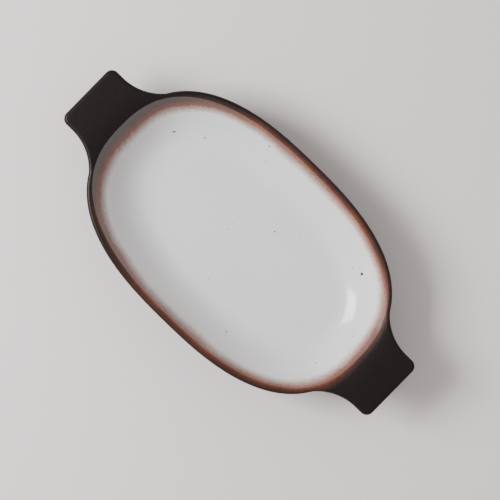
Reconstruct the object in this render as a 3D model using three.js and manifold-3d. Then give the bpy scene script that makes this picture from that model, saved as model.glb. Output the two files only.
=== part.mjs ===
// Oval stoneware baking dish with two flat ears, a raised foot ring and a glaze lining.
// Millimetres, +Z up, X along the dish. The origin is under the centre, where the foot stands.
import * as THREE from 'three';
import Module from 'manifold-3d';
import { mergeVertices } from 'three/addons/utils/BufferGeometryUtils.js';

// Crease oval, where the inner wall turns over into the flange: half length, half width, squareness
const CREASE_HALF_LENGTH = 124.2;
const CREASE_HALF_WIDTH = 76.4;
const CREASE_SQUARENESS = 2.5;

// Rim oval, the outer edge of the flange between the ears
const RIM_HALF_LENGTH = 126;
const RIM_HALF_WIDTH = 81.5;
const RIM_SQUARENESS = 2.6;
const RIM_EDGE_RADIUS = 2.6;

// Ears: flat tabs that grow out of the flange at both ends
const EAR_REACH = 160;
const EAR_HALF_WIDTH = 27.3;
const EAR_CORNER_RADIUS = 6;
const EAR_FLARE_RADIUS = 40.6;
const EAR_FLARE_START = 148;

// Heights above the surface that the dish stands on
const FOOT_HEIGHT = 5;
const FLOOR_THICKNESS = 6;
const CREASE_HEIGHT = 42;

// The flange leaves the crease at this angle and levels out after this rise
const FLANGE_ANGLE = THREE.MathUtils.degToRad(22);
const FLANGE_RISE = 3;

// Inner wall: a cove of an elliptical arc, which meets the crease at this arc angle
const COVE_WIDTH = 34;
const COVE_ARC = THREE.MathUtils.degToRad(50);
const FLOOR_SQUARENESS = 2.3;
const WALL_THICKNESS = 6;
const WALL_SHOULDER = 0.82;

// Foot ring under the flat of the bowl
const FOOT_WIDTH = 6;
const FOOT_MARGIN = 1;
const FOOT_TAPER = 1.2;

// Glaze lining inside the bowl
const GLAZE_THICKNESS = 0.8;
const GLAZE_EDGE_SETBACK = 0.6;

// Clearance between pieces that are cut to each other
const CLEARANCE = 0.3;
const EAR_JOINT_MARGIN = 0.6;

// Facets: steps on each stretch of a quarter of the outline and down the section
const EAR_END_STEPS = 2;
const EAR_CORNER_STEPS = 3;
const EAR_SIDE_STEPS = 6;
const RIM_STEPS = 9;
const COVE_STEPS = 7;
const FLANGE_STEPS = 3;
const EDGE_STEPS = 4;
const UNDERSIDE_STEPS = 3;

const floorTop = FOOT_HEIGHT + FLOOR_THICKNESS;
const wallRise = CREASE_HEIGHT - floorTop;

const wasm = await Module();
wasm.setup();

// A point on a superellipse at parameter t
function ovalPoint(halfLength, halfWidth, squareness, t) {
  const c = Math.cos(t);
  const s = Math.sin(t);
  const k = (Math.abs(c) ** squareness + Math.abs(s) ** squareness) ** (-1 / squareness);
  return new THREE.Vector2(halfLength * k * c, halfWidth * k * s);
}

// The parameter on an oval of the given half sizes that a point looks along
function ovalParameter(point, halfLength, halfWidth) {
  return Math.atan2(point.y / halfWidth, point.x / halfLength);
}

// Zero on the crease oval, negative inside it and positive outside
function creaseLevel(point) {
  const x = Math.abs(point.x / CREASE_HALF_LENGTH) ** CREASE_SQUARENESS;
  const y = Math.abs(point.y / CREASE_HALF_WIDTH) ** CREASE_SQUARENESS;
  return x + y - 1;
}

// Half width of the ear's flare at x, an arc that runs tangent into the straight side
function flareHalfWidth(x) {
  const run = EAR_FLARE_START - x;
  return EAR_HALF_WIDTH + EAR_FLARE_RADIUS - Math.sqrt(EAR_FLARE_RADIUS ** 2 - run ** 2);
}

// Parameter on the rim oval where the flare meets it
function flareJoin() {
  let low = 0;
  let high = Math.PI / 4;
  for (let step = 0; step < 40; step++) {
    const middle = (low + high) / 2;
    const point = ovalPoint(RIM_HALF_LENGTH, RIM_HALF_WIDTH, RIM_SQUARENESS, middle);
    if (flareHalfWidth(point.x) > point.y) low = middle;
    else high = middle;
  }
  return low;
}

// A quarter of the outer outline, from the middle of an ear's end to the middle of a long side
function quarterOutline() {
  const points = [];
  const cornerX = EAR_REACH - EAR_CORNER_RADIUS;
  const cornerY = EAR_HALF_WIDTH - EAR_CORNER_RADIUS;
  for (let i = 0; i < EAR_END_STEPS; i++) {
    points.push(new THREE.Vector2(EAR_REACH, cornerY * i / EAR_END_STEPS));
  }
  for (let i = 0; i <= EAR_CORNER_STEPS; i++) {
    const angle = Math.PI / 2 * i / EAR_CORNER_STEPS;
    const x = cornerX + EAR_CORNER_RADIUS * Math.cos(angle);
    points.push(new THREE.Vector2(x, cornerY + EAR_CORNER_RADIUS * Math.sin(angle)));
  }
  const join = flareJoin();
  const joinX = ovalPoint(RIM_HALF_LENGTH, RIM_HALF_WIDTH, RIM_SQUARENESS, join).x;
  for (let i = 0; i < EAR_SIDE_STEPS; i++) {
    const x = THREE.MathUtils.lerp(EAR_FLARE_START, joinX, i / EAR_SIDE_STEPS);
    points.push(new THREE.Vector2(x, flareHalfWidth(x)));
  }
  for (let i = 0; i <= RIM_STEPS; i++) {
    const t = THREE.MathUtils.lerp(join, Math.PI / 2, i / RIM_STEPS);
    points.push(ovalPoint(RIM_HALF_LENGTH, RIM_HALF_WIDTH, RIM_SQUARENESS, t));
  }
  return points;
}

// The whole outline, counterclockwise, from its quarter mirrored twice
function outerOutline() {
  const quarter = quarterOutline();
  const last = quarter.length - 1;
  const half = [...quarter];
  for (let i = last - 1; i >= 0; i--) half.push(new THREE.Vector2(-quarter[i].x, quarter[i].y));
  const whole = [...half];
  for (let i = half.length - 2; i > 0; i--) whole.push(new THREE.Vector2(half[i].x, -half[i].y));
  return whole;
}

// Outward normals of a closed outline, from each point's neighbours
function outlineNormals(outline) {
  return outline.map((point, i) => {
    const before = outline[(i + outline.length - 1) % outline.length];
    const after = outline[(i + 1) % outline.length];
    return new THREE.Vector2(after.y - before.y, before.x - after.x).normalize();
  });
}

// The point on the crease that lies on the way from the dish's long axis out to a rim point
function creasePoint(rimPoint) {
  const spineEnd = CREASE_HALF_LENGTH / 2;
  const spineX = Math.sign(rimPoint.x) * Math.min(Math.abs(rimPoint.x) / 2, spineEnd);
  const spine = new THREE.Vector2(spineX, 0);
  let low = 0;
  let high = 1;
  for (let step = 0; step < 40; step++) {
    const middle = (low + high) / 2;
    if (creaseLevel(spine.clone().lerp(rimPoint, middle)) < 0) low = middle;
    else high = middle;
  }
  return spine.lerp(rimPoint, low);
}

// The section of the inner wall at an arc angle: inset from the crease, height, and slope angle
function wallSection(angle) {
  const acrossRadius = COVE_WIDTH / Math.sin(COVE_ARC);
  const upRadius = wallRise / (1 - Math.cos(COVE_ARC));
  return {
    inset: COVE_WIDTH - acrossRadius * Math.sin(angle),
    height: floorTop + upRadius * (1 - Math.cos(angle)),
    slope: Math.atan2(upRadius * Math.sin(angle), acrossRadius * Math.cos(angle)),
    squareness: THREE.MathUtils.lerp(FLOOR_SQUARENESS, CREASE_SQUARENESS, angle / COVE_ARC),
  };
}

// A ring of the inner wall, moved out through the wall by a depth, one point for each parameter
function wallRing(angle, depth, parameters) {
  const section = wallSection(angle);
  const inset = section.inset - depth * Math.sin(section.slope);
  const height = section.height - depth * Math.cos(section.slope);
  return parameters.map((t) => {
    const point = ovalPoint(CREASE_HALF_LENGTH - inset, CREASE_HALF_WIDTH - inset, section.squareness, t);
    return new THREE.Vector3(point.x, point.y, height);
  });
}

// Closed skin over a stack of rings, with its two ends closed at a middle point
function loft(rings, closesOnItself = false) {
  const count = rings[0].length;
  const positions = [];
  const indices = [];
  rings.forEach((ring) => ring.forEach((point) => positions.push(point.x, point.y, point.z)));
  const bands = closesOnItself ? rings.length : rings.length - 1;
  for (let band = 0; band < bands; band++) {
    const lower = band * count;
    const upper = ((band + 1) % rings.length) * count;
    for (let i = 0; i < count; i++) {
      const next = (i + 1) % count;
      indices.push(lower + i, upper + i, upper + next);
      indices.push(lower + i, upper + next, lower + next);
    }
  }
  if (!closesOnItself) {
    const first = positions.length / 3;
    positions.push(0, 0, rings[0][0].z, 0, 0, rings[rings.length - 1][0].z);
    const top = (rings.length - 1) * count;
    for (let i = 0; i < count; i++) {
      const next = (i + 1) % count;
      indices.push(first, i, next);
      indices.push(first + 1, top + next, top + i);
    }
  }
  const geometry = new THREE.BufferGeometry();
  geometry.setAttribute('position', new THREE.Float32BufferAttribute(positions, 3));
  geometry.setIndex(indices);
  return geometry;
}

// Solid for cutting and joining
function solid(geometry) {
  const bare = geometry.clone();
  bare.deleteAttribute('normal');
  bare.deleteAttribute('uv');
  const merged = mergeVertices(bare, 1e-4);
  return new wasm.Manifold(new wasm.Mesh({
    numProp: 3,
    vertProperties: new Float32Array(merged.attributes.position.array),
    triVerts: new Uint32Array(merged.index.array),
  }));
}

// Geometry of a solid that was cut
function geometryOf(shape) {
  const mesh = shape.getMesh();
  const geometry = new THREE.BufferGeometry();
  geometry.setAttribute('position', new THREE.Float32BufferAttribute(mesh.vertProperties, 3));
  geometry.setIndex(new THREE.Uint32BufferAttribute(mesh.triVerts, 1));
  geometry.computeVertexNormals();
  return geometry;
}

// The fired clay before it is parted into bowl and ears
function clayRings(parameters, outline, normals, creasePoints) {
  const recess = GLAZE_THICKNESS + CLEARANCE;
  const rings = [];
  for (let i = 0; i <= COVE_STEPS; i++) {
    rings.push(wallRing(COVE_ARC * i / COVE_STEPS, recess, parameters));
  }
  const flangeEdge = outline.map((point, i) => point.clone().addScaledVector(normals[i], -RIM_EDGE_RADIUS));
  const flangeTop = (from, to, share) => from.distanceTo(to) * share * Math.tan(FLANGE_ANGLE);
  const topHeight = (i, share) => {
    const climb = flangeTop(creasePoints[i], flangeEdge[i], share);
    return CREASE_HEIGHT + FLANGE_RISE * (1 - Math.exp(-climb / FLANGE_RISE));
  };
  for (let step = 0; step < FLANGE_STEPS; step++) {
    const share = step / FLANGE_STEPS;
    rings.push(creasePoints.map((point, i) => {
      const place = point.clone().lerp(flangeEdge[i], share);
      return new THREE.Vector3(place.x, place.y, topHeight(i, share));
    }));
  }
  for (let step = 0; step <= EDGE_STEPS; step++) {
    const angle = Math.PI * step / EDGE_STEPS;
    const out = RIM_EDGE_RADIUS * Math.sin(angle);
    const drop = RIM_EDGE_RADIUS * (1 - Math.cos(angle));
    rings.push(flangeEdge.map((point, i) => {
      const place = point.clone().addScaledVector(normals[i], out);
      return new THREE.Vector3(place.x, place.y, topHeight(i, 1) - drop);
    }));
  }
  const shoulder = wallRing(COVE_ARC * WALL_SHOULDER, WALL_THICKNESS, parameters);
  const edgeUnderside = rings[rings.length - 1];
  for (let step = 1; step < UNDERSIDE_STEPS; step++) {
    const share = step / UNDERSIDE_STEPS;
    rings.push(edgeUnderside.map((point, i) => {
      const place = point.clone().lerp(shoulder[i], share);
      place.z = THREE.MathUtils.lerp(point.z, shoulder[i].z, share ** 2);
      return place;
    }));
  }
  rings.push(shoulder);
  for (let i = COVE_STEPS - 2; i >= 0; i--) {
    const angle = COVE_ARC * WALL_SHOULDER * i / (COVE_STEPS - 1);
    rings.push(wallRing(angle, WALL_THICKNESS, parameters));
  }
  return rings;
}

// Upright oval block that parts the bowl from its ears
function partingBlock(margin, parameters) {
  const ring = (height) => parameters.map((t) => {
    const point = ovalPoint(RIM_HALF_LENGTH + margin, RIM_HALF_WIDTH + margin, RIM_SQUARENESS, t);
    return new THREE.Vector3(point.x, point.y, height);
  });
  return solid(loft([ring(CREASE_HEIGHT * 2), ring(-CREASE_HEIGHT)]));
}

// Block over one end of the dish, on the side that the sign names
function endBlock(side) {
  const box = new THREE.BoxGeometry(EAR_REACH * 2, RIM_HALF_WIDTH * 3, CREASE_HEIGHT * 4);
  box.translate(side * (EAR_REACH + CLEARANCE), 0, 0);
  return solid(box);
}

// The glaze lining follows the wall from the floor up to just under the crease
function liningRings(parameters) {
  const last = wallSection(COVE_ARC);
  const arcLength = Math.hypot(COVE_WIDTH, wallRise);
  const end = COVE_ARC * (1 - GLAZE_EDGE_SETBACK / arcLength / Math.sin(last.slope));
  const rings = [];
  for (let i = 0; i <= COVE_STEPS; i++) rings.push(wallRing(end * i / COVE_STEPS, 0, parameters));
  for (let i = COVE_STEPS; i >= 0; i--) {
    rings.push(wallRing(end * i / COVE_STEPS, GLAZE_THICKNESS, parameters));
  }
  return rings;
}

// The foot ring stands under the flat of the bowl and narrows downwards
function footRings(parameters) {
  const outerInset = COVE_WIDTH + FOOT_MARGIN;
  const ring = (inset, height) => parameters.map((t) => {
    const halfLength = CREASE_HALF_LENGTH - inset;
    const point = ovalPoint(halfLength, CREASE_HALF_WIDTH - inset, FLOOR_SQUARENESS, t);
    return new THREE.Vector3(point.x, point.y, height);
  });
  return [
    ring(outerInset, FOOT_HEIGHT),
    ring(outerInset + FOOT_TAPER, 0),
    ring(outerInset + FOOT_WIDTH - FOOT_TAPER / 2, 0),
    ring(outerInset + FOOT_WIDTH, FOOT_HEIGHT),
  ];
}

const stoneware = new THREE.MeshStandardMaterial({ color: 0x2d2726, roughness: 0.55, metalness: 0 });
const bareClay = new THREE.MeshStandardMaterial({ color: 0x6e5548, roughness: 0.9, metalness: 0 });
const whiteGlaze = new THREE.MeshStandardMaterial({ color: 0xcfd0d2, roughness: 0.15, metalness: 0 });

const outline = outerOutline();
const normals = outlineNormals(outline);
const creasePoints = outline.map(creasePoint);
const parameters = creasePoints.map((p) => ovalParameter(p, CREASE_HALF_LENGTH, CREASE_HALF_WIDTH));
const evenCount = outline.length;
const evenParameters = Array.from({ length: evenCount }, (_, i) => 2 * Math.PI * i / evenCount);

const clay = solid(loft(clayRings(parameters, outline, normals, creasePoints)));
const bowlSide = partingBlock(EAR_JOINT_MARGIN, evenParameters);
const earSide = partingBlock(EAR_JOINT_MARGIN + CLEARANCE, evenParameters);

const dish = new THREE.Group();

function addPiece(name, geometry, material) {
  const mesh = new THREE.Mesh(geometry, material);
  mesh.name = name;
  dish.add(mesh);
}

addPiece('dish_body', geometryOf(clay.intersect(bowlSide)), stoneware);
addPiece('left_ear', geometryOf(clay.subtract(earSide).intersect(endBlock(-1))), stoneware);
addPiece('right_ear', geometryOf(clay.subtract(earSide).intersect(endBlock(1))), stoneware);
addPiece('foot_ring', geometryOf(solid(loft(footRings(evenParameters), true))), bareClay);
addPiece('lining_glaze', geometryOf(solid(loft(liningRings(parameters)))), whiteGlaze);

export default dish;
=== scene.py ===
"""An oval stoneware baking dish with two ears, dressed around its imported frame."""
import math

import bmesh
import bpy
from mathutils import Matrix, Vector


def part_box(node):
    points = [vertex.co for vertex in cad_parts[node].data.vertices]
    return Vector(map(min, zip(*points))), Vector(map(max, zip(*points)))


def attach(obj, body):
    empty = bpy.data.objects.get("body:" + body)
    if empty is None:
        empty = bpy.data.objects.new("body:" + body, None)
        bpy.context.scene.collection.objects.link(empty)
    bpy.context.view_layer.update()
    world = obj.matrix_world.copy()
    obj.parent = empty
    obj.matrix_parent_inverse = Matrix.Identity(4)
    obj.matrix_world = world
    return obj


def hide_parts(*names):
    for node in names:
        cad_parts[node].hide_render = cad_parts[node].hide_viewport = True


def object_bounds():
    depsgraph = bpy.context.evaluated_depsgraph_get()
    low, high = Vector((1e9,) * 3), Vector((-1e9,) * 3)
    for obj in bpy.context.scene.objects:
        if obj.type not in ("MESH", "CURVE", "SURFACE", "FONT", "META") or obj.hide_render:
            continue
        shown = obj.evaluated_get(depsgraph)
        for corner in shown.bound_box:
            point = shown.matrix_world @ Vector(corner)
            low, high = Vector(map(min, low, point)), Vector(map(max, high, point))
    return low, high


bl_info = {
    "name": "Oval Eared Dish",
    "version": (1, 0, 0),
    "blender": (4, 5, 0),
    "location": "3D View > Sidebar > Dish",
    "description": "Makes an oval glazed stoneware dish with two flat ears",
    "category": "Add Mesh",
}

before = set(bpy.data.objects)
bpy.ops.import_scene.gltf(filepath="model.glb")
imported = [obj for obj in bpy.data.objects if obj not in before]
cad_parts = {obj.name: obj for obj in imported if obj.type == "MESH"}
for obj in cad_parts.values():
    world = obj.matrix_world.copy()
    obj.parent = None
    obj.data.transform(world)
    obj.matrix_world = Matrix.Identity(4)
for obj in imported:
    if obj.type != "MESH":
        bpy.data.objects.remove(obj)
cad_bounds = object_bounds()

MM = 0.001
BODY = "root"
EAR_CORNER_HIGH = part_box("right_ear")[1]
BOWL_CORNER_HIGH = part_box("dish_body")[1]
FOOT_CORNER_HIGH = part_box("foot_ring")[1]

# Each point of the crease is sought outwards from a spine along the dish, which is this share as long
SPINE_SHARE = 0.5

# The outside of the wall follows this share of the cove's arc, and then turns out under the rim
SHOULDER_SHARE = 0.82

# The block that parts the bowl from its ears stands this far outside the rim's oval
PARTING_MARGIN = 0.6 * MM

# How far the foot's outer side draws in towards the ground, twice as far as its inner side
FOOT_TAPER = 1.2 * MM
FOOT_ROUNDING = 0.8 * MM

# Rings across the lining's floor, as shares of the floor's edge
FLOOR_RING_SHARES = (0.05, 0.25, 0.5, 0.75)

# How finely round pieces are drawn, and the angle up to which surfaces are smoothed
ROUND_STEPS = 360
CORNER_STEPS = 5
SHARP_ANGLE = math.radians(35)

# How a place on a curve is searched for: halvings, and the steps of a scan along the rim
SEARCH_STEPS = 40
SCAN_ANGLE = math.radians(0.25)

# Where the white glaze ends, as an oval that lies a little towards the right ear. That shift is painted
# shade: the dark band reaches further down the wall at the left ear's end, which faces away from the window.
WHITE_HALF_LENGTH = 116.8 * MM
WHITE_HALF_WIDTH = 72.9 * MM
WHITE_SQUARENESS = 2.56
PAINTED_SHADE_SHIFT = 2.9 * MM

# The run of colours across the rim: how far inside the white's end it starts, and its width, in mm
CHANGE_START = 10.0
CHANGE_WIDTH = 26.0

# How far noise moves the run in and out, in mm, in broad waves and in fine grain
WAVER = 4.0
WAVER_LUMPS = 28.0
GRAIN = 3.2
GRAIN_LUMPS = 420.0
NOISE_MIDDLE = 0.5

# Each millimetre down the outside counts as this many across the rim
OUTSIDE_DARKENING = 8.0

# Where each colour stands in the run, from 0 to 1
WHITE_FROM = 0.0
WHITE_TO = 0.26
TAN_AT = 0.38
RUST_AT = 0.48
BROWN_AT = 0.60
DARK_AT = 0.76

# The dark glaze: brown flecks, and satin that is glossier next to the white
FLECK_LUMPS = 900.0
FLECK_RANGE = (0.66, 0.78)
FLECK_STRENGTH = 0.35
DARK_ROUGHNESS = 0.30
DARK_MOTTLE = 0.14
DARK_MOTTLE_LUMPS = 160.0
RIM_GLOSS = 0.10
RIM_GLOSS_FROM = 12.0
RIM_GLOSS_TO = 2.0
DARK_SPECULAR = 0.15
DARK_RELIEF = 0.12 * MM
DARK_RELIEF_LUMPS = 520.0

# The white glaze: faint warm clouds, dark specks, and a slightly uneven gloss
CLOUD_LUMPS = 18.0
CLOUD_RANGE = (0.40, 0.75)
CLOUD_STRENGTH = 0.05
SPECK_LUMPS = 260.0
SPECK_RANGE = (0.84, 0.86)
WHITE_ROUGHNESS = 0.10
WHITE_MOTTLE = 0.08
WHITE_RELIEF = 0.2 * MM
WHITE_RELIEF_LUMPS = 70.0
WHITE_RELIEF_STRENGTH = 0.35

# The bare clay's grain
CLAY_LUMPS = 700.0
CLAY_ROUGHNESS = 0.75
CLAY_MOTTLE = 0.2
CLAY_RELIEF = 0.2 * MM

# How the camera stands over the dish in the photograph
CAMERA_ROLL = math.radians(44.37)
CAMERA_HEIGHT = 1.5
VIEW_WIDTH = 0.3730
SENSOR_WIDTH = 36.0
OFF_CENTRE_RIGHT = 0.0080
OFF_CENTRE_UP = -0.0056

# The studio: places are to the picture's right, up it, and above the floor
FLOOR_WIDTH = 8.0
FLOOR_ROUGHNESS = 0.95
WINDOW_PLACE = (-1.05, 0.15, 1.0)
WINDOW_WIDTH = 0.7
WINDOW_POWER = 34.0
FILL_PLACE = (0.9, 0.5, 1.3)
FILL_WIDTH = 1.6
FILL_POWER = 1.5
SKY_COLOUR = (1.0, 0.97, 0.955, 1.0)
SKY_STRENGTH = 0.62


class DishSizes(bpy.types.PropertyGroup):
    """Sizes of the dish, in metres, and the steps that its surfaces are drawn with"""

    crease_half_length: bpy.props.FloatProperty(
        name="Crease half length",
        description="Half the length inside the flange",
        default=124.2 * MM,
        unit="LENGTH",
    )
    crease_half_width: bpy.props.FloatProperty(
        name="Crease half width",
        description="Half the width inside the flange",
        default=76.4 * MM,
        unit="LENGTH",
    )
    crease_squareness: bpy.props.FloatProperty(
        name="Crease squareness",
        description="2 is an ellipse, more is squarer",
        default=2.5,
    )
    rim_half_length: bpy.props.FloatProperty(
        name="Rim half length",
        description="Half the length of the rim between the ears",
        default=126 * MM,
        unit="LENGTH",
    )
    rim_half_width: bpy.props.FloatProperty(
        name="Rim half width",
        description="Half the width of the rim",
        default=BOWL_CORNER_HIGH.y,
        unit="LENGTH",
    )
    rim_squareness: bpy.props.FloatProperty(
        name="Rim squareness",
        description="2 is an ellipse, more is squarer",
        default=2.6,
    )
    rim_radius: bpy.props.FloatProperty(
        name="Rim radius",
        description="Radius of the rounded outer edge",
        default=2.6 * MM,
        unit="LENGTH",
    )
    ear_reach: bpy.props.FloatProperty(
        name="Ear reach",
        description="From the middle of the dish to an ear's end",
        default=EAR_CORNER_HIGH.x,
        unit="LENGTH",
    )
    ear_half_width: bpy.props.FloatProperty(
        name="Ear half width",
        description="Half the width of an ear",
        default=27.3 * MM,
        unit="LENGTH",
    )
    ear_corner: bpy.props.FloatProperty(
        name="Ear corner",
        description="Radius of an ear's corners",
        default=6 * MM,
        unit="LENGTH",
    )
    ear_flare: bpy.props.FloatProperty(
        name="Ear flare",
        description="Radius of the flare into the rim",
        default=40.6 * MM,
        unit="LENGTH",
    )
    flare_start: bpy.props.FloatProperty(
        name="Flare start",
        description="Where the flare leaves the straight side",
        default=148 * MM,
        unit="LENGTH",
    )
    floor_top: bpy.props.FloatProperty(
        name="Floor height",
        description="Height of the floor inside the bowl",
        default=11 * MM,
        unit="LENGTH",
    )
    foot_height: bpy.props.FloatProperty(
        name="Foot height",
        description="Height of the foot ring",
        default=FOOT_CORNER_HIGH.z,
        unit="LENGTH",
    )
    crease_height: bpy.props.FloatProperty(
        name="Crease height",
        description="Height of the crease",
        default=42 * MM,
        unit="LENGTH",
    )
    flange_angle: bpy.props.FloatProperty(
        name="Flange angle",
        description="Slope of the flange at the crease",
        default=math.radians(22),
        subtype="ANGLE",
    )
    flange_rise: bpy.props.FloatProperty(
        name="Flange rise",
        description="Rise after which the flange levels out",
        default=3 * MM,
        unit="LENGTH",
    )
    cove_width: bpy.props.FloatProperty(
        name="Cove width",
        description="Width of the wall and its cove in plan",
        default=34 * MM,
        unit="LENGTH",
    )
    cove_arc: bpy.props.FloatProperty(
        name="Cove arc",
        description="Arc of the cove's ellipse up to the crease",
        default=math.radians(50),
        subtype="ANGLE",
    )
    floor_squareness: bpy.props.FloatProperty(
        name="Floor squareness",
        description="2 is an ellipse, more is squarer",
        default=2.3,
    )
    wall: bpy.props.FloatProperty(
        name="Wall",
        description="Thickness of the wall",
        default=6 * MM,
        unit="LENGTH",
    )
    glaze: bpy.props.FloatProperty(
        name="Glaze",
        description="Thickness of the glaze lining",
        default=0.8 * MM,
        unit="LENGTH",
    )
    clearance: bpy.props.FloatProperty(
        name="Clearance",
        description="Gap between the lining and the clay",
        default=0.3 * MM,
        unit="LENGTH",
    )
    foot_width: bpy.props.FloatProperty(
        name="Foot width",
        description="Width of the foot ring",
        default=6 * MM,
        unit="LENGTH",
    )
    fineness: bpy.props.IntProperty(
        name="Fineness",
        description="Steps on each stretch of the surfaces",
        default=16,
        min=4,
    )


class DishColours(bpy.types.PropertyGroup):
    """Colours of the glazes, the clay and the floor"""

    white: bpy.props.FloatVectorProperty(
        name="White glaze",
        description="The liner glaze",
        default=(0.735, 0.727, 0.73),
        subtype="COLOR",
    )
    tan: bpy.props.FloatVectorProperty(
        name="Thin white glaze",
        description="White glaze over the dark one",
        default=(0.40, 0.31, 0.27),
        subtype="COLOR",
    )
    rust: bpy.props.FloatVectorProperty(
        name="Rust glaze",
        description="Iron glaze where it breaks",
        default=(0.20, 0.056, 0.028),
        subtype="COLOR",
    )
    brown: bpy.props.FloatVectorProperty(
        name="Brown glaze",
        description="Iron glaze between rust and black",
        default=(0.058, 0.024, 0.016),
        subtype="COLOR",
    )
    dark: bpy.props.FloatVectorProperty(
        name="Dark glaze",
        description="Iron glaze where it is thick",
        default=(0.0095, 0.0068, 0.0065),
        subtype="COLOR",
    )
    clay: bpy.props.FloatVectorProperty(
        name="Bare clay",
        description="Unglazed foot",
        default=(0.19, 0.115, 0.08),
        subtype="COLOR",
    )
    floor: bpy.props.FloatVectorProperty(
        name="Studio floor",
        description="The surface under the dish",
        default=(0.80, 0.755, 0.74),
        subtype="COLOR",
    )


def oval_point(half_length, half_width, squareness, t):
    """A point on a superellipse at parameter t"""
    c = math.cos(t)
    s = math.sin(t)
    k = (abs(c) ** squareness + abs(s) ** squareness) ** (-1 / squareness)
    return Vector((half_length * k * c, half_width * k * s))


def whole_turn():
    """Parameters evenly round a whole turn"""
    return [2 * math.pi * i / ROUND_STEPS for i in range(ROUND_STEPS)]


def flare_half_width(size, x):
    """Half width of an ear's flare at x"""
    run = size.flare_start - x
    return size.ear_half_width + size.ear_flare - math.sqrt(size.ear_flare ** 2 - run ** 2)


def turning_value(holds, low, high):
    """The value between low and high where a condition that holds at low stops holding"""
    for _ in range(SEARCH_STEPS):
        middle = (low + high) / 2
        if holds(middle):
            low = middle
        else:
            high = middle
    return low


def flare_join(size, rim):
    """The rim's parameter where an ear's flare first meets it"""

    def under_flare(t):
        point = oval_point(*rim, t)
        return flare_half_width(size, point.x) > point.y

    join = 0.0
    while under_flare(join + SCAN_ANGLE):
        join += SCAN_ANGLE
    return turning_value(under_flare, join, join + SCAN_ANGLE)


def quarter_outline(size):
    """The outer edge from the middle of the right ear's end to the middle of a long side"""
    steps = size.fineness
    side_steps = 2 * steps
    rim_steps = 3 * steps
    corner_x = size.ear_reach - size.ear_corner
    corner_y = size.ear_half_width - size.ear_corner
    quarter = [Vector((size.ear_reach, corner_y * i / steps)) for i in range(steps)]
    for i in range(steps):
        angle = math.pi / 2 * i / steps
        x = corner_x + size.ear_corner * math.cos(angle)
        y = corner_y + size.ear_corner * math.sin(angle)
        quarter.append(Vector((x, y)))
    rim = (size.rim_half_length, size.rim_half_width, size.rim_squareness)
    join = flare_join(size, rim)
    join_x = oval_point(*rim, join).x
    for i in range(side_steps):
        x = corner_x + (join_x - corner_x) * i / side_steps
        y = size.ear_half_width if x > size.flare_start else flare_half_width(size, x)
        quarter.append(Vector((x, y)))
    for i in range(rim_steps + 1):
        quarter.append(oval_point(*rim, join + (math.pi / 2 - join) * i / rim_steps))
    return quarter


def outer_outline(size):
    """The outer edge of rim and ears, counterclockwise, from its quarter mirrored twice"""
    quarter = quarter_outline(size)
    half = quarter + [Vector((-p.x, p.y)) for p in reversed(quarter[:-1])]
    return half + [Vector((p.x, -p.y)) for p in reversed(half[1:-1])]


def outline_normals(outline):
    """Outward normals of a closed outline"""
    normals = []
    for i in range(len(outline)):
        along = outline[(i + 1) % len(outline)] - outline[i - 1]
        normals.append(Vector((along.y, -along.x)).normalized())
    return normals


def crease_point(size, rim_point):
    """The crease on the way from the dish's long axis out to a rim point"""
    spine_end = size.crease_half_length * SPINE_SHARE
    spine_x = math.copysign(min(abs(rim_point.x) * SPINE_SHARE, spine_end), rim_point.x)
    spine = Vector((spine_x, 0.0))

    def inside(share):
        point = spine.lerp(rim_point, share)
        x = abs(point.x / size.crease_half_length) ** size.crease_squareness
        y = abs(point.y / size.crease_half_width) ** size.crease_squareness
        return x + y < 1

    return spine.lerp(rim_point, turning_value(inside, 0.0, 1.0))


def plan(size):
    """The outline of the rim, the crease inside it and the crease's parameters"""
    outline = outer_outline(size)
    creases = [crease_point(size, p) for p in outline]
    parameters = []
    for point in creases:
        parameters.append(math.atan2(point.y / size.crease_half_width, point.x / size.crease_half_length))
    return outline, creases, parameters


def wall_ring(size, angle, depth, parameters):
    """A ring of the inner wall, moved out through the wall by a depth"""
    across = size.cove_width / math.sin(size.cove_arc)
    up = (size.crease_height - size.floor_top) / (1 - math.cos(size.cove_arc))
    slope = math.atan2(up * math.sin(angle), across * math.cos(angle))
    inset = size.cove_width - across * math.sin(angle) - depth * math.sin(slope)
    height = size.floor_top + up * (1 - math.cos(angle)) - depth * math.cos(slope)
    share = angle / size.cove_arc
    squareness = size.floor_squareness + (size.crease_squareness - size.floor_squareness) * share
    half_length = size.crease_half_length - inset
    half_width = size.crease_half_width - inset
    return [(*oval_point(half_length, half_width, squareness, t), height) for t in parameters]


def wall_rings(size, arc, steps, depth, parameters):
    """Rings up the wall from the floor to an arc angle, at one depth"""
    return [wall_ring(size, arc * i / steps, depth, parameters) for i in range(steps + 1)]


def underside_rings(size, edge_ring, shoulder):
    """Rings that lead from under the rim's edge in to the wall's shoulder, in a hollow curve"""
    starts = [Vector(p) for p in edge_ring]
    ends = [Vector(p) for p in shoulder]
    rings = []
    for step in range(1, size.fineness):
        share = step / size.fineness
        ring = []
        for start, end in zip(starts, ends):
            place = start.lerp(end, share)
            place.z = start.z + (end.z - start.z) * share ** 2
            ring.append(place)
        rings.append(ring)
    return rings


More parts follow.
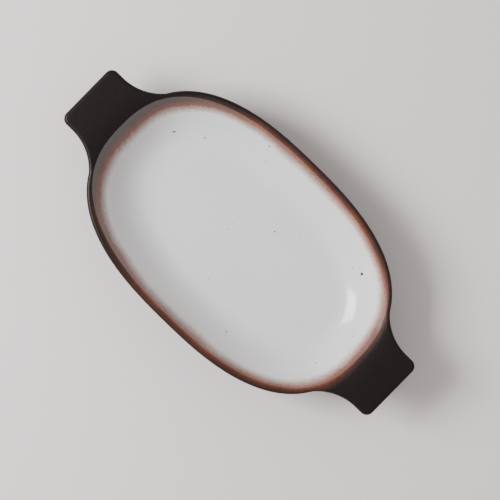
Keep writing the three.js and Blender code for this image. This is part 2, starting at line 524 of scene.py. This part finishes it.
def clay_rings(size):
    """Rings of the fired clay from the bowl's floor over the rim and down to the foot"""
    outline, creases, parameters = plan(size)
    steps = size.fineness
    normals = outline_normals(outline)
    columns = range(len(outline))
    edge = [p - n * size.rim_radius for p, n in zip(outline, normals)]

    def top_height(i, share):
        climb = (edge[i] - creases[i]).length * share * math.tan(size.flange_angle)
        return size.crease_height + size.flange_rise * (1 - math.exp(-climb / size.flange_rise))

    rings = wall_rings(size, size.cove_arc, steps, size.glaze + size.clearance, parameters)
    for step in range(steps):
        share = step / steps
        rings.append([(*creases[i].lerp(edge[i], share), top_height(i, share)) for i in columns])
    for step in range(steps + 1):
        angle = math.pi * step / steps
        out = size.rim_radius * math.sin(angle)
        drop = size.rim_radius * (1 - math.cos(angle))
        rings.append([(*(edge[i] + normals[i] * out), top_height(i, 1) - drop) for i in columns])
    outside = wall_rings(size, size.cove_arc * SHOULDER_SHARE, steps, size.wall, parameters)
    outside.reverse()
    return rings + underside_rings(size, rings[-1], outside[0]) + outside


def loft(name, rings, closed_section=False):
    """A closed skin over a stack of rings, capped at both ends or joined last to first"""
    shape = bmesh.new()
    rows = [[shape.verts.new(p) for p in ring] for ring in rings]
    count = len(rows[0])
    bands = len(rows) if closed_section else len(rows) - 1
    for band in range(bands):
        lower = rows[band]
        upper = rows[(band + 1) % len(rows)]
        for i in range(count):
            j = (i + 1) % count
            shape.faces.new((lower[i], upper[i], upper[j], lower[j]))
    if not closed_section:
        shape.faces.new(rows[0])
        shape.faces.new(list(reversed(rows[-1])))
    bmesh.ops.recalc_face_normals(shape, faces=shape.faces)
    mesh = bpy.data.meshes.new(name)
    shape.to_mesh(mesh)
    shape.free()
    piece = bpy.data.objects.new(name, mesh)
    bpy.context.scene.collection.objects.link(piece)
    return piece


def choose(piece):
    """Selects one piece alone and makes it active"""
    bpy.ops.object.select_all(action="DESELECT")
    piece.select_set(True)
    bpy.context.view_layer.objects.active = piece


def cut(piece, block, operation):
    """Keeps only what lies inside a block, or takes that away"""
    choose(piece)
    modifier = piece.modifiers.new("cut", "BOOLEAN")
    modifier.operation = operation
    modifier.solver = "EXACT"
    modifier.object = block
    bpy.ops.object.modifier_apply(modifier=modifier.name)


def finish_piece(piece, material, node):
    """Smooths a piece, gives it its finish and ties it to the frame"""
    choose(piece)
    bpy.ops.object.shade_smooth_by_angle(angle=SHARP_ANGLE)
    piece.data.materials.clear()
    piece.data.materials.append(material)
    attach(piece, BODY)
    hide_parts(node)


class Finish:
    """A material whose shader nodes are added and linked one call at a time"""

    def __init__(self, name):
        self.material = bpy.data.materials.new(name)
        self.material.use_nodes = True
        self.tree = self.material.node_tree
        self.shader = self.tree.nodes["Principled BSDF"]

    def add(self, kind, **values):
        """Adds a node and sets its properties"""
        node = self.tree.nodes.new(kind)
        for key, value in values.items():
            setattr(node, key, value)
        return node

    def feed(self, socket, value):
        """Links an output to a socket, or sets the socket to a plain value"""
        if hasattr(value, "is_output"):
            self.tree.links.new(value, socket)
        else:
            socket.default_value = value

    def work_out(self, operation, first, second=0.0):
        """The result of a maths operation on one or two values"""
        node = self.add("ShaderNodeMath", operation=operation)
        self.feed(node.inputs[0], first)
        self.feed(node.inputs[1], second)
        return node.outputs[0]

    def mix(self, share, first, second):
        """A colour between two colours"""
        node = self.add("ShaderNodeMix", data_type="RGBA")
        self.feed(node.inputs["Factor"], share)
        # Inputs 6 and 7 are the node's two colours, and output 2 is the colour between them
        self.feed(node.inputs[6], first)
        self.feed(node.inputs[7], second)
        return node.outputs[2]

    def place(self):
        """The point on the object, in metres"""
        return self.add("ShaderNodeTexCoord").outputs["Object"]

    def parts_of(self, place):
        """The X, Y and Z of a point"""
        split = self.add("ShaderNodeSeparateXYZ")
        self.feed(split.inputs[0], place)
        return split.outputs

    def noise(self, place, scale, detail=3.0, rough=0.5):
        """Cloudy noise with so many lumps to a metre"""
        node = self.add("ShaderNodeTexNoise")
        self.feed(node.inputs["Vector"], place)
        node.inputs["Scale"].default_value = scale
        node.inputs["Detail"].default_value = detail
        node.inputs["Roughness"].default_value = rough
        return node.outputs["Fac"]

    def ramp(self, value, *stops):
        """A colour that runs through stops, each a place from 0 to 1 and a colour"""
        node = self.add("ShaderNodeValToRGB")
        self.feed(node.inputs["Fac"], value)
        elements = node.color_ramp.elements
        while len(elements) > 1:
            elements.remove(elements[-1])
        for i, (position, colour) in enumerate(stops):
            element = elements[0] if i == 0 else elements.new(position)
            element.position = position
            element.color = (*colour, 1.0)
        return node.outputs["Color"]

    def smooth_step(self, value, start, end):
        """A smooth change from 0 where the value is at start to 1 where it is at end"""
        node = self.add("ShaderNodeMapRange", interpolation_type="SMOOTHSTEP")
        self.feed(node.inputs["Value"], value)
        self.feed(node.inputs["From Min"], start)
        self.feed(node.inputs["From Max"], end)
        return node.outputs["Result"]

    def colour(self, value):
        """Sets or feeds the shader's colour"""
        self.feed(self.shader.inputs["Base Color"], value)

    def roughness(self, value):
        """Sets or feeds the shader's roughness"""
        self.feed(self.shader.inputs["Roughness"], value)

    def bump(self, height, distance, strength=1.0):
        """Raises and sinks the surface by a height pattern"""
        node = self.add("ShaderNodeBump")
        self.feed(node.inputs["Height"], height)
        node.inputs["Distance"].default_value = distance
        node.inputs["Strength"].default_value = strength
        self.feed(self.shader.inputs["Normal"], node.outputs["Normal"])


def glaze_distance(finish, place):
    """Roughly how many millimetres a point lies outside the oval where the white glaze ends"""
    x, y, _ = finish.parts_of(place)
    # Moving the oval towards the right ear paints shade on the wall at the left ear's end
    along = finish.work_out("ABSOLUTE", finish.work_out("SUBTRACT", x, PAINTED_SHADE_SHIFT))
    along = finish.work_out("DIVIDE", along, WHITE_HALF_LENGTH)
    across = finish.work_out("DIVIDE", finish.work_out("ABSOLUTE", y), WHITE_HALF_WIDTH)
    along = finish.work_out("POWER", along, WHITE_SQUARENESS)
    across = finish.work_out("POWER", across, WHITE_SQUARENESS)
    level = finish.work_out("POWER", finish.work_out("ADD", along, across), 1 / WHITE_SQUARENESS)
    x_squared = finish.work_out("MULTIPLY", x, x)
    y_squared = finish.work_out("MULTIPLY", y, y)
    radius = finish.work_out("SQRT", finish.work_out("ADD", x_squared, y_squared))
    reach = finish.work_out("DIVIDE", radius, level)
    past = finish.work_out("MULTIPLY", finish.work_out("SUBTRACT", level, 1.0), reach)
    return finish.work_out("DIVIDE", past, MM)


def depth_below(finish, place, crease_height):
    """How far a point lies under the crease, as millimetres of the glaze's change of colour"""
    z = finish.parts_of(place)[2]
    drop = finish.work_out("DIVIDE", finish.work_out("SUBTRACT", crease_height, z), MM)
    return finish.work_out("MULTIPLY", finish.work_out("MAXIMUM", drop, 0.0), OUTSIDE_DARKENING)


def rim_colour(finish, distance, place, colours):
    """White, tan, rust, brown and dark in turn over a distance, with a wavering, grainy edge"""
    broad = finish.noise(place, WAVER_LUMPS, detail=2.0)
    fine = finish.noise(place, GRAIN_LUMPS, detail=4.0, rough=0.6)
    waver = finish.work_out("MULTIPLY", finish.work_out("SUBTRACT", broad, NOISE_MIDDLE), WAVER)
    grain = finish.work_out("MULTIPLY", finish.work_out("SUBTRACT", fine, NOISE_MIDDLE), GRAIN)
    shifted = finish.work_out("ADD", finish.work_out("ADD", distance, waver), grain)
    share = finish.work_out("DIVIDE", finish.work_out("ADD", shifted, CHANGE_START), CHANGE_WIDTH)
    return finish.ramp(
        share,
        (WHITE_FROM, colours.white),
        (WHITE_TO, colours.white),
        (TAN_AT, colours.tan),
        (RUST_AT, colours.rust),
        (BROWN_AT, colours.brown),
        (DARK_AT, colours.dark),
    )


def dark_glaze(colours, crease_height):
    """Satin iron glaze of the outside, rust where it breaks over the rim"""
    finish = Finish("dark_glaze")
    place = finish.place()
    drop = depth_below(finish, place, crease_height)
    distance = finish.work_out("ADD", glaze_distance(finish, place), drop)
    colour = rim_colour(finish, distance, place, colours)
    speckle = finish.noise(place, FLECK_LUMPS, detail=2.0, rough=0.7)
    fleck_share = finish.work_out("MULTIPLY", finish.smooth_step(speckle, *FLECK_RANGE), FLECK_STRENGTH)
    finish.colour(finish.mix(fleck_share, colour, (*colours.brown, 1.0)))
    mottle = finish.noise(place, DARK_MOTTLE_LUMPS, detail=4.0, rough=0.6)
    satin = finish.work_out("ADD", finish.work_out("MULTIPLY", mottle, DARK_MOTTLE), DARK_ROUGHNESS)
    near_white = finish.smooth_step(distance, RIM_GLOSS_FROM, RIM_GLOSS_TO)
    finish.roughness(finish.work_out("SUBTRACT", satin, finish.work_out("MULTIPLY", near_white, RIM_GLOSS)))
    finish.shader.inputs["Specular IOR Level"].default_value = DARK_SPECULAR
    finish.bump(finish.noise(place, DARK_RELIEF_LUMPS, rough=0.6), DARK_RELIEF)
    return finish.material


def white_glaze(colours):
    """Glossy liner glaze that thins to tan and rust at the crease, with a few dark specks"""
    finish = Finish("white_glaze")
    place = finish.place()
    colour = rim_colour(finish, glaze_distance(finish, place), place, colours)
    cloud = finish.noise(place, CLOUD_LUMPS)
    cloud_share = finish.work_out("MULTIPLY", finish.smooth_step(cloud, *CLOUD_RANGE), CLOUD_STRENGTH)
    clouded = finish.mix(cloud_share, colour, (*colours.tan, 1.0))
    specks = finish.smooth_step(finish.noise(place, SPECK_LUMPS, detail=0.0), *SPECK_RANGE)
    finish.colour(finish.mix(specks, clouded, (*colours.brown, 1.0)))
    unevenness = finish.work_out("MULTIPLY", cloud, WHITE_MOTTLE)
    finish.roughness(finish.work_out("ADD", unevenness, WHITE_ROUGHNESS))
    finish.bump(finish.noise(place, WHITE_RELIEF_LUMPS, detail=2.0), WHITE_RELIEF, WHITE_RELIEF_STRENGTH)
    return finish.material


def bare_clay(colours):
    """Matte fired clay of the foot"""
    finish = Finish("bare_clay")
    grain = finish.noise(finish.place(), CLAY_LUMPS, detail=5.0, rough=0.7)
    finish.colour(finish.mix(grain, (*colours.clay, 1.0), (*colours.brown, 1.0)))
    finish.roughness(finish.work_out("ADD", finish.work_out("MULTIPLY", grain, CLAY_MOTTLE), CLAY_ROUGHNESS))
    finish.bump(grain, CLAY_RELIEF)
    return finish.material


def parting_block(size):
    """An upright oval block that parts the bowl from its ears"""
    half_length = size.rim_half_length + PARTING_MARGIN
    half_width = size.rim_half_width + PARTING_MARGIN
    oval = [oval_point(half_length, half_width, size.rim_squareness, t) for t in whole_turn()]
    heights = (2 * BOWL_CORNER_HIGH.z, -BOWL_CORNER_HIGH.z)
    return loft("parting_block", [[(*p, z) for p in oval] for z in heights])


def foot_section(size):
    """The foot ring's section, as insets from the crease and heights, from outside to inside"""
    outer = size.crease_half_length - FOOT_CORNER_HIGH.x
    inner = outer + size.foot_width
    section = [(outer, size.foot_height), (outer + FOOT_TAPER, FOOT_ROUNDING)]
    angles = [math.pi / 2 * i / CORNER_STEPS for i in range(CORNER_STEPS + 1)]
    for angle in angles[1:]:
        inset = outer + FOOT_TAPER + FOOT_ROUNDING * (1 - math.cos(angle))
        section.append((inset, FOOT_ROUNDING * (1 - math.sin(angle))))
    for angle in angles:
        inset = inner - FOOT_TAPER / 2 - FOOT_ROUNDING * (1 - math.sin(angle))
        section.append((inset, FOOT_ROUNDING * (1 - math.cos(angle))))
    section.append((inner, size.foot_height))
    return section


class DISH_OT_clay(bpy.types.Operator):
    """Make the bowl and its two ears"""

    bl_idname = "dish.clay"
    bl_label = "Bowl and Ears"

    def execute(self, context):
        size = context.scene.dish_sizes
        rings = clay_rings(size)
        material = dark_glaze(context.scene.dish_colours, size.crease_height)
        bowl = loft("stoneware_bowl", rings)
        ears = loft("stoneware_ears", rings)
        block = parting_block(size)
        cut(bowl, block, "INTERSECT")
        cut(ears, block, "DIFFERENCE")
        bpy.data.objects.remove(block)
        choose(ears)
        bpy.ops.mesh.separate(type="LOOSE")
        sides = list(context.selected_objects)
        if len(sides) != 2:
            raise RuntimeError(f"the ears came apart as {len(sides)} pieces")
        finish_piece(bowl, material, "dish_body")
        for ear in sides:
            side = "right" if ear.data.vertices[0].co.x > 0 else "left"
            ear.name = f"{side}_stoneware_ear"
            finish_piece(ear, material, f"{side}_ear")
        return {"FINISHED"}


class DISH_OT_lining(bpy.types.Operator):
    """Make the white glaze lining"""

    bl_idname = "dish.lining"
    bl_label = "Glaze Lining"

    def execute(self, context):
        size = context.scene.dish_sizes
        parameters = plan(size)[2]
        steps = 3 * size.fineness
        face = wall_rings(size, size.cove_arc, steps, 0.0, parameters)
        back = wall_rings(size, size.cove_arc, steps, size.glaze, parameters)
        back.reverse()
        floor = []
        for share in FLOOR_RING_SHARES:
            floor.append([(x * share, y * share, size.floor_top) for x, y, _ in face[0]])
        lining = loft("white_lining", floor + face + back)
        finish_piece(lining, white_glaze(context.scene.dish_colours), "lining_glaze")
        return {"FINISHED"}


class DISH_OT_foot(bpy.types.Operator):
    """Make the foot ring"""

    bl_idname = "dish.foot"
    bl_label = "Foot Ring"

    def execute(self, context):
        size = context.scene.dish_sizes
        rings = []
        for inset, height in foot_section(size):
            half_length = size.crease_half_length - inset
            half_width = size.crease_half_width - inset
            oval = [oval_point(half_length, half_width, size.floor_squareness, t) for t in whole_turn()]
            rings.append([(*p, height) for p in oval])
        foot = loft("stoneware_foot", rings, closed_section=True)
        finish_piece(foot, bare_clay(context.scene.dish_colours), "foot_ring")
        return {"FINISHED"}


def in_picture(right, up, above):
    """A place by how far it lies to the picture's right, up it, and above the floor"""
    to_right = Vector((math.cos(CAMERA_ROLL), math.sin(CAMERA_ROLL), 0.0))
    to_top = Vector((-math.sin(CAMERA_ROLL), math.cos(CAMERA_ROLL), 0.0))
    return to_right * right + to_top * up + Vector((0.0, 0.0, above))


def add_light(name, place, width, power):
    """A square area light that looks at the dish"""
    bpy.ops.object.light_add(type="AREA", location=place)
    light = bpy.context.object
    light.name = name
    light.data.size = width
    light.data.energy = power
    light.rotation_euler = (-place).to_track_quat("-Z", "Y").to_euler()


class DISH_OT_stage(bpy.types.Operator):
    """Make the floor, the lights and the camera"""

    bl_idname = "dish.stage"
    bl_label = "Studio"

    def execute(self, context):
        scene = context.scene
        bpy.ops.object.select_all(action="DESELECT")
        bpy.ops.mesh.primitive_plane_add(size=FLOOR_WIDTH)
        floor = context.object
        floor.name = "studio_floor"
        finish = Finish("studio_floor")
        finish.colour((*scene.dish_colours.floor, 1.0))
        finish.roughness(FLOOR_ROUGHNESS)
        floor.data.materials.append(finish.material)
        add_light("window", in_picture(*WINDOW_PLACE), WINDOW_WIDTH, WINDOW_POWER)
        add_light("fill", in_picture(*FILL_PLACE), FILL_WIDTH, FILL_POWER)
        world = bpy.data.worlds.new("studio")
        world.use_nodes = True
        sky = world.node_tree.nodes["Background"]
        sky.inputs["Color"].default_value = SKY_COLOUR
        sky.inputs["Strength"].default_value = SKY_STRENGTH
        scene.world = world
        rim_height = cad_bounds[1][2]
        place = in_picture(OFF_CENTRE_RIGHT, OFF_CENTRE_UP, rim_height + CAMERA_HEIGHT)
        bpy.ops.object.camera_add(location=place, rotation=(0.0, 0.0, CAMERA_ROLL))
        camera = context.object
        camera.data.sensor_width = SENSOR_WIDTH
        camera.data.lens = SENSOR_WIDTH * CAMERA_HEIGHT / VIEW_WIDTH
        scene.camera = camera
        return {"FINISHED"}


class DISH_PT_panel(bpy.types.Panel):
    """Sizes, colours and steps of the dish"""

    bl_idname = "DISH_PT_panel"
    bl_label = "Oval Eared Dish"
    bl_space_type = "VIEW_3D"
    bl_region_type = "UI"
    bl_category = "Dish"

    def draw(self, context):
        for group in (context.scene.dish_sizes, context.scene.dish_colours):
            box = self.layout.box()
            for name in group.bl_rna.properties.keys():
                if name not in ("rna_type", "name"):
                    box.prop(group, name)
        for operator in OPERATORS:
            self.layout.operator(operator.bl_idname)


OPERATORS = (DISH_OT_stage, DISH_OT_clay, DISH_OT_lining, DISH_OT_foot)
CLASSES = (DishSizes, DishColours, *OPERATORS, DISH_PT_panel)


def register():
    for cls in CLASSES:
        bpy.utils.register_class(cls)
    bpy.types.Scene.dish_sizes = bpy.props.PointerProperty(type=DishSizes)
    bpy.types.Scene.dish_colours = bpy.props.PointerProperty(type=DishColours)


def unregister():
    del bpy.types.Scene.dish_colours
    del bpy.types.Scene.dish_sizes
    for cls in reversed(CLASSES):
        bpy.utils.unregister_class(cls)


def main():
    register()
    bpy.ops.dish.stage()
    bpy.ops.dish.clay()
    bpy.ops.dish.lining()
    bpy.ops.dish.foot()


if __name__ == "__main__":
    main()
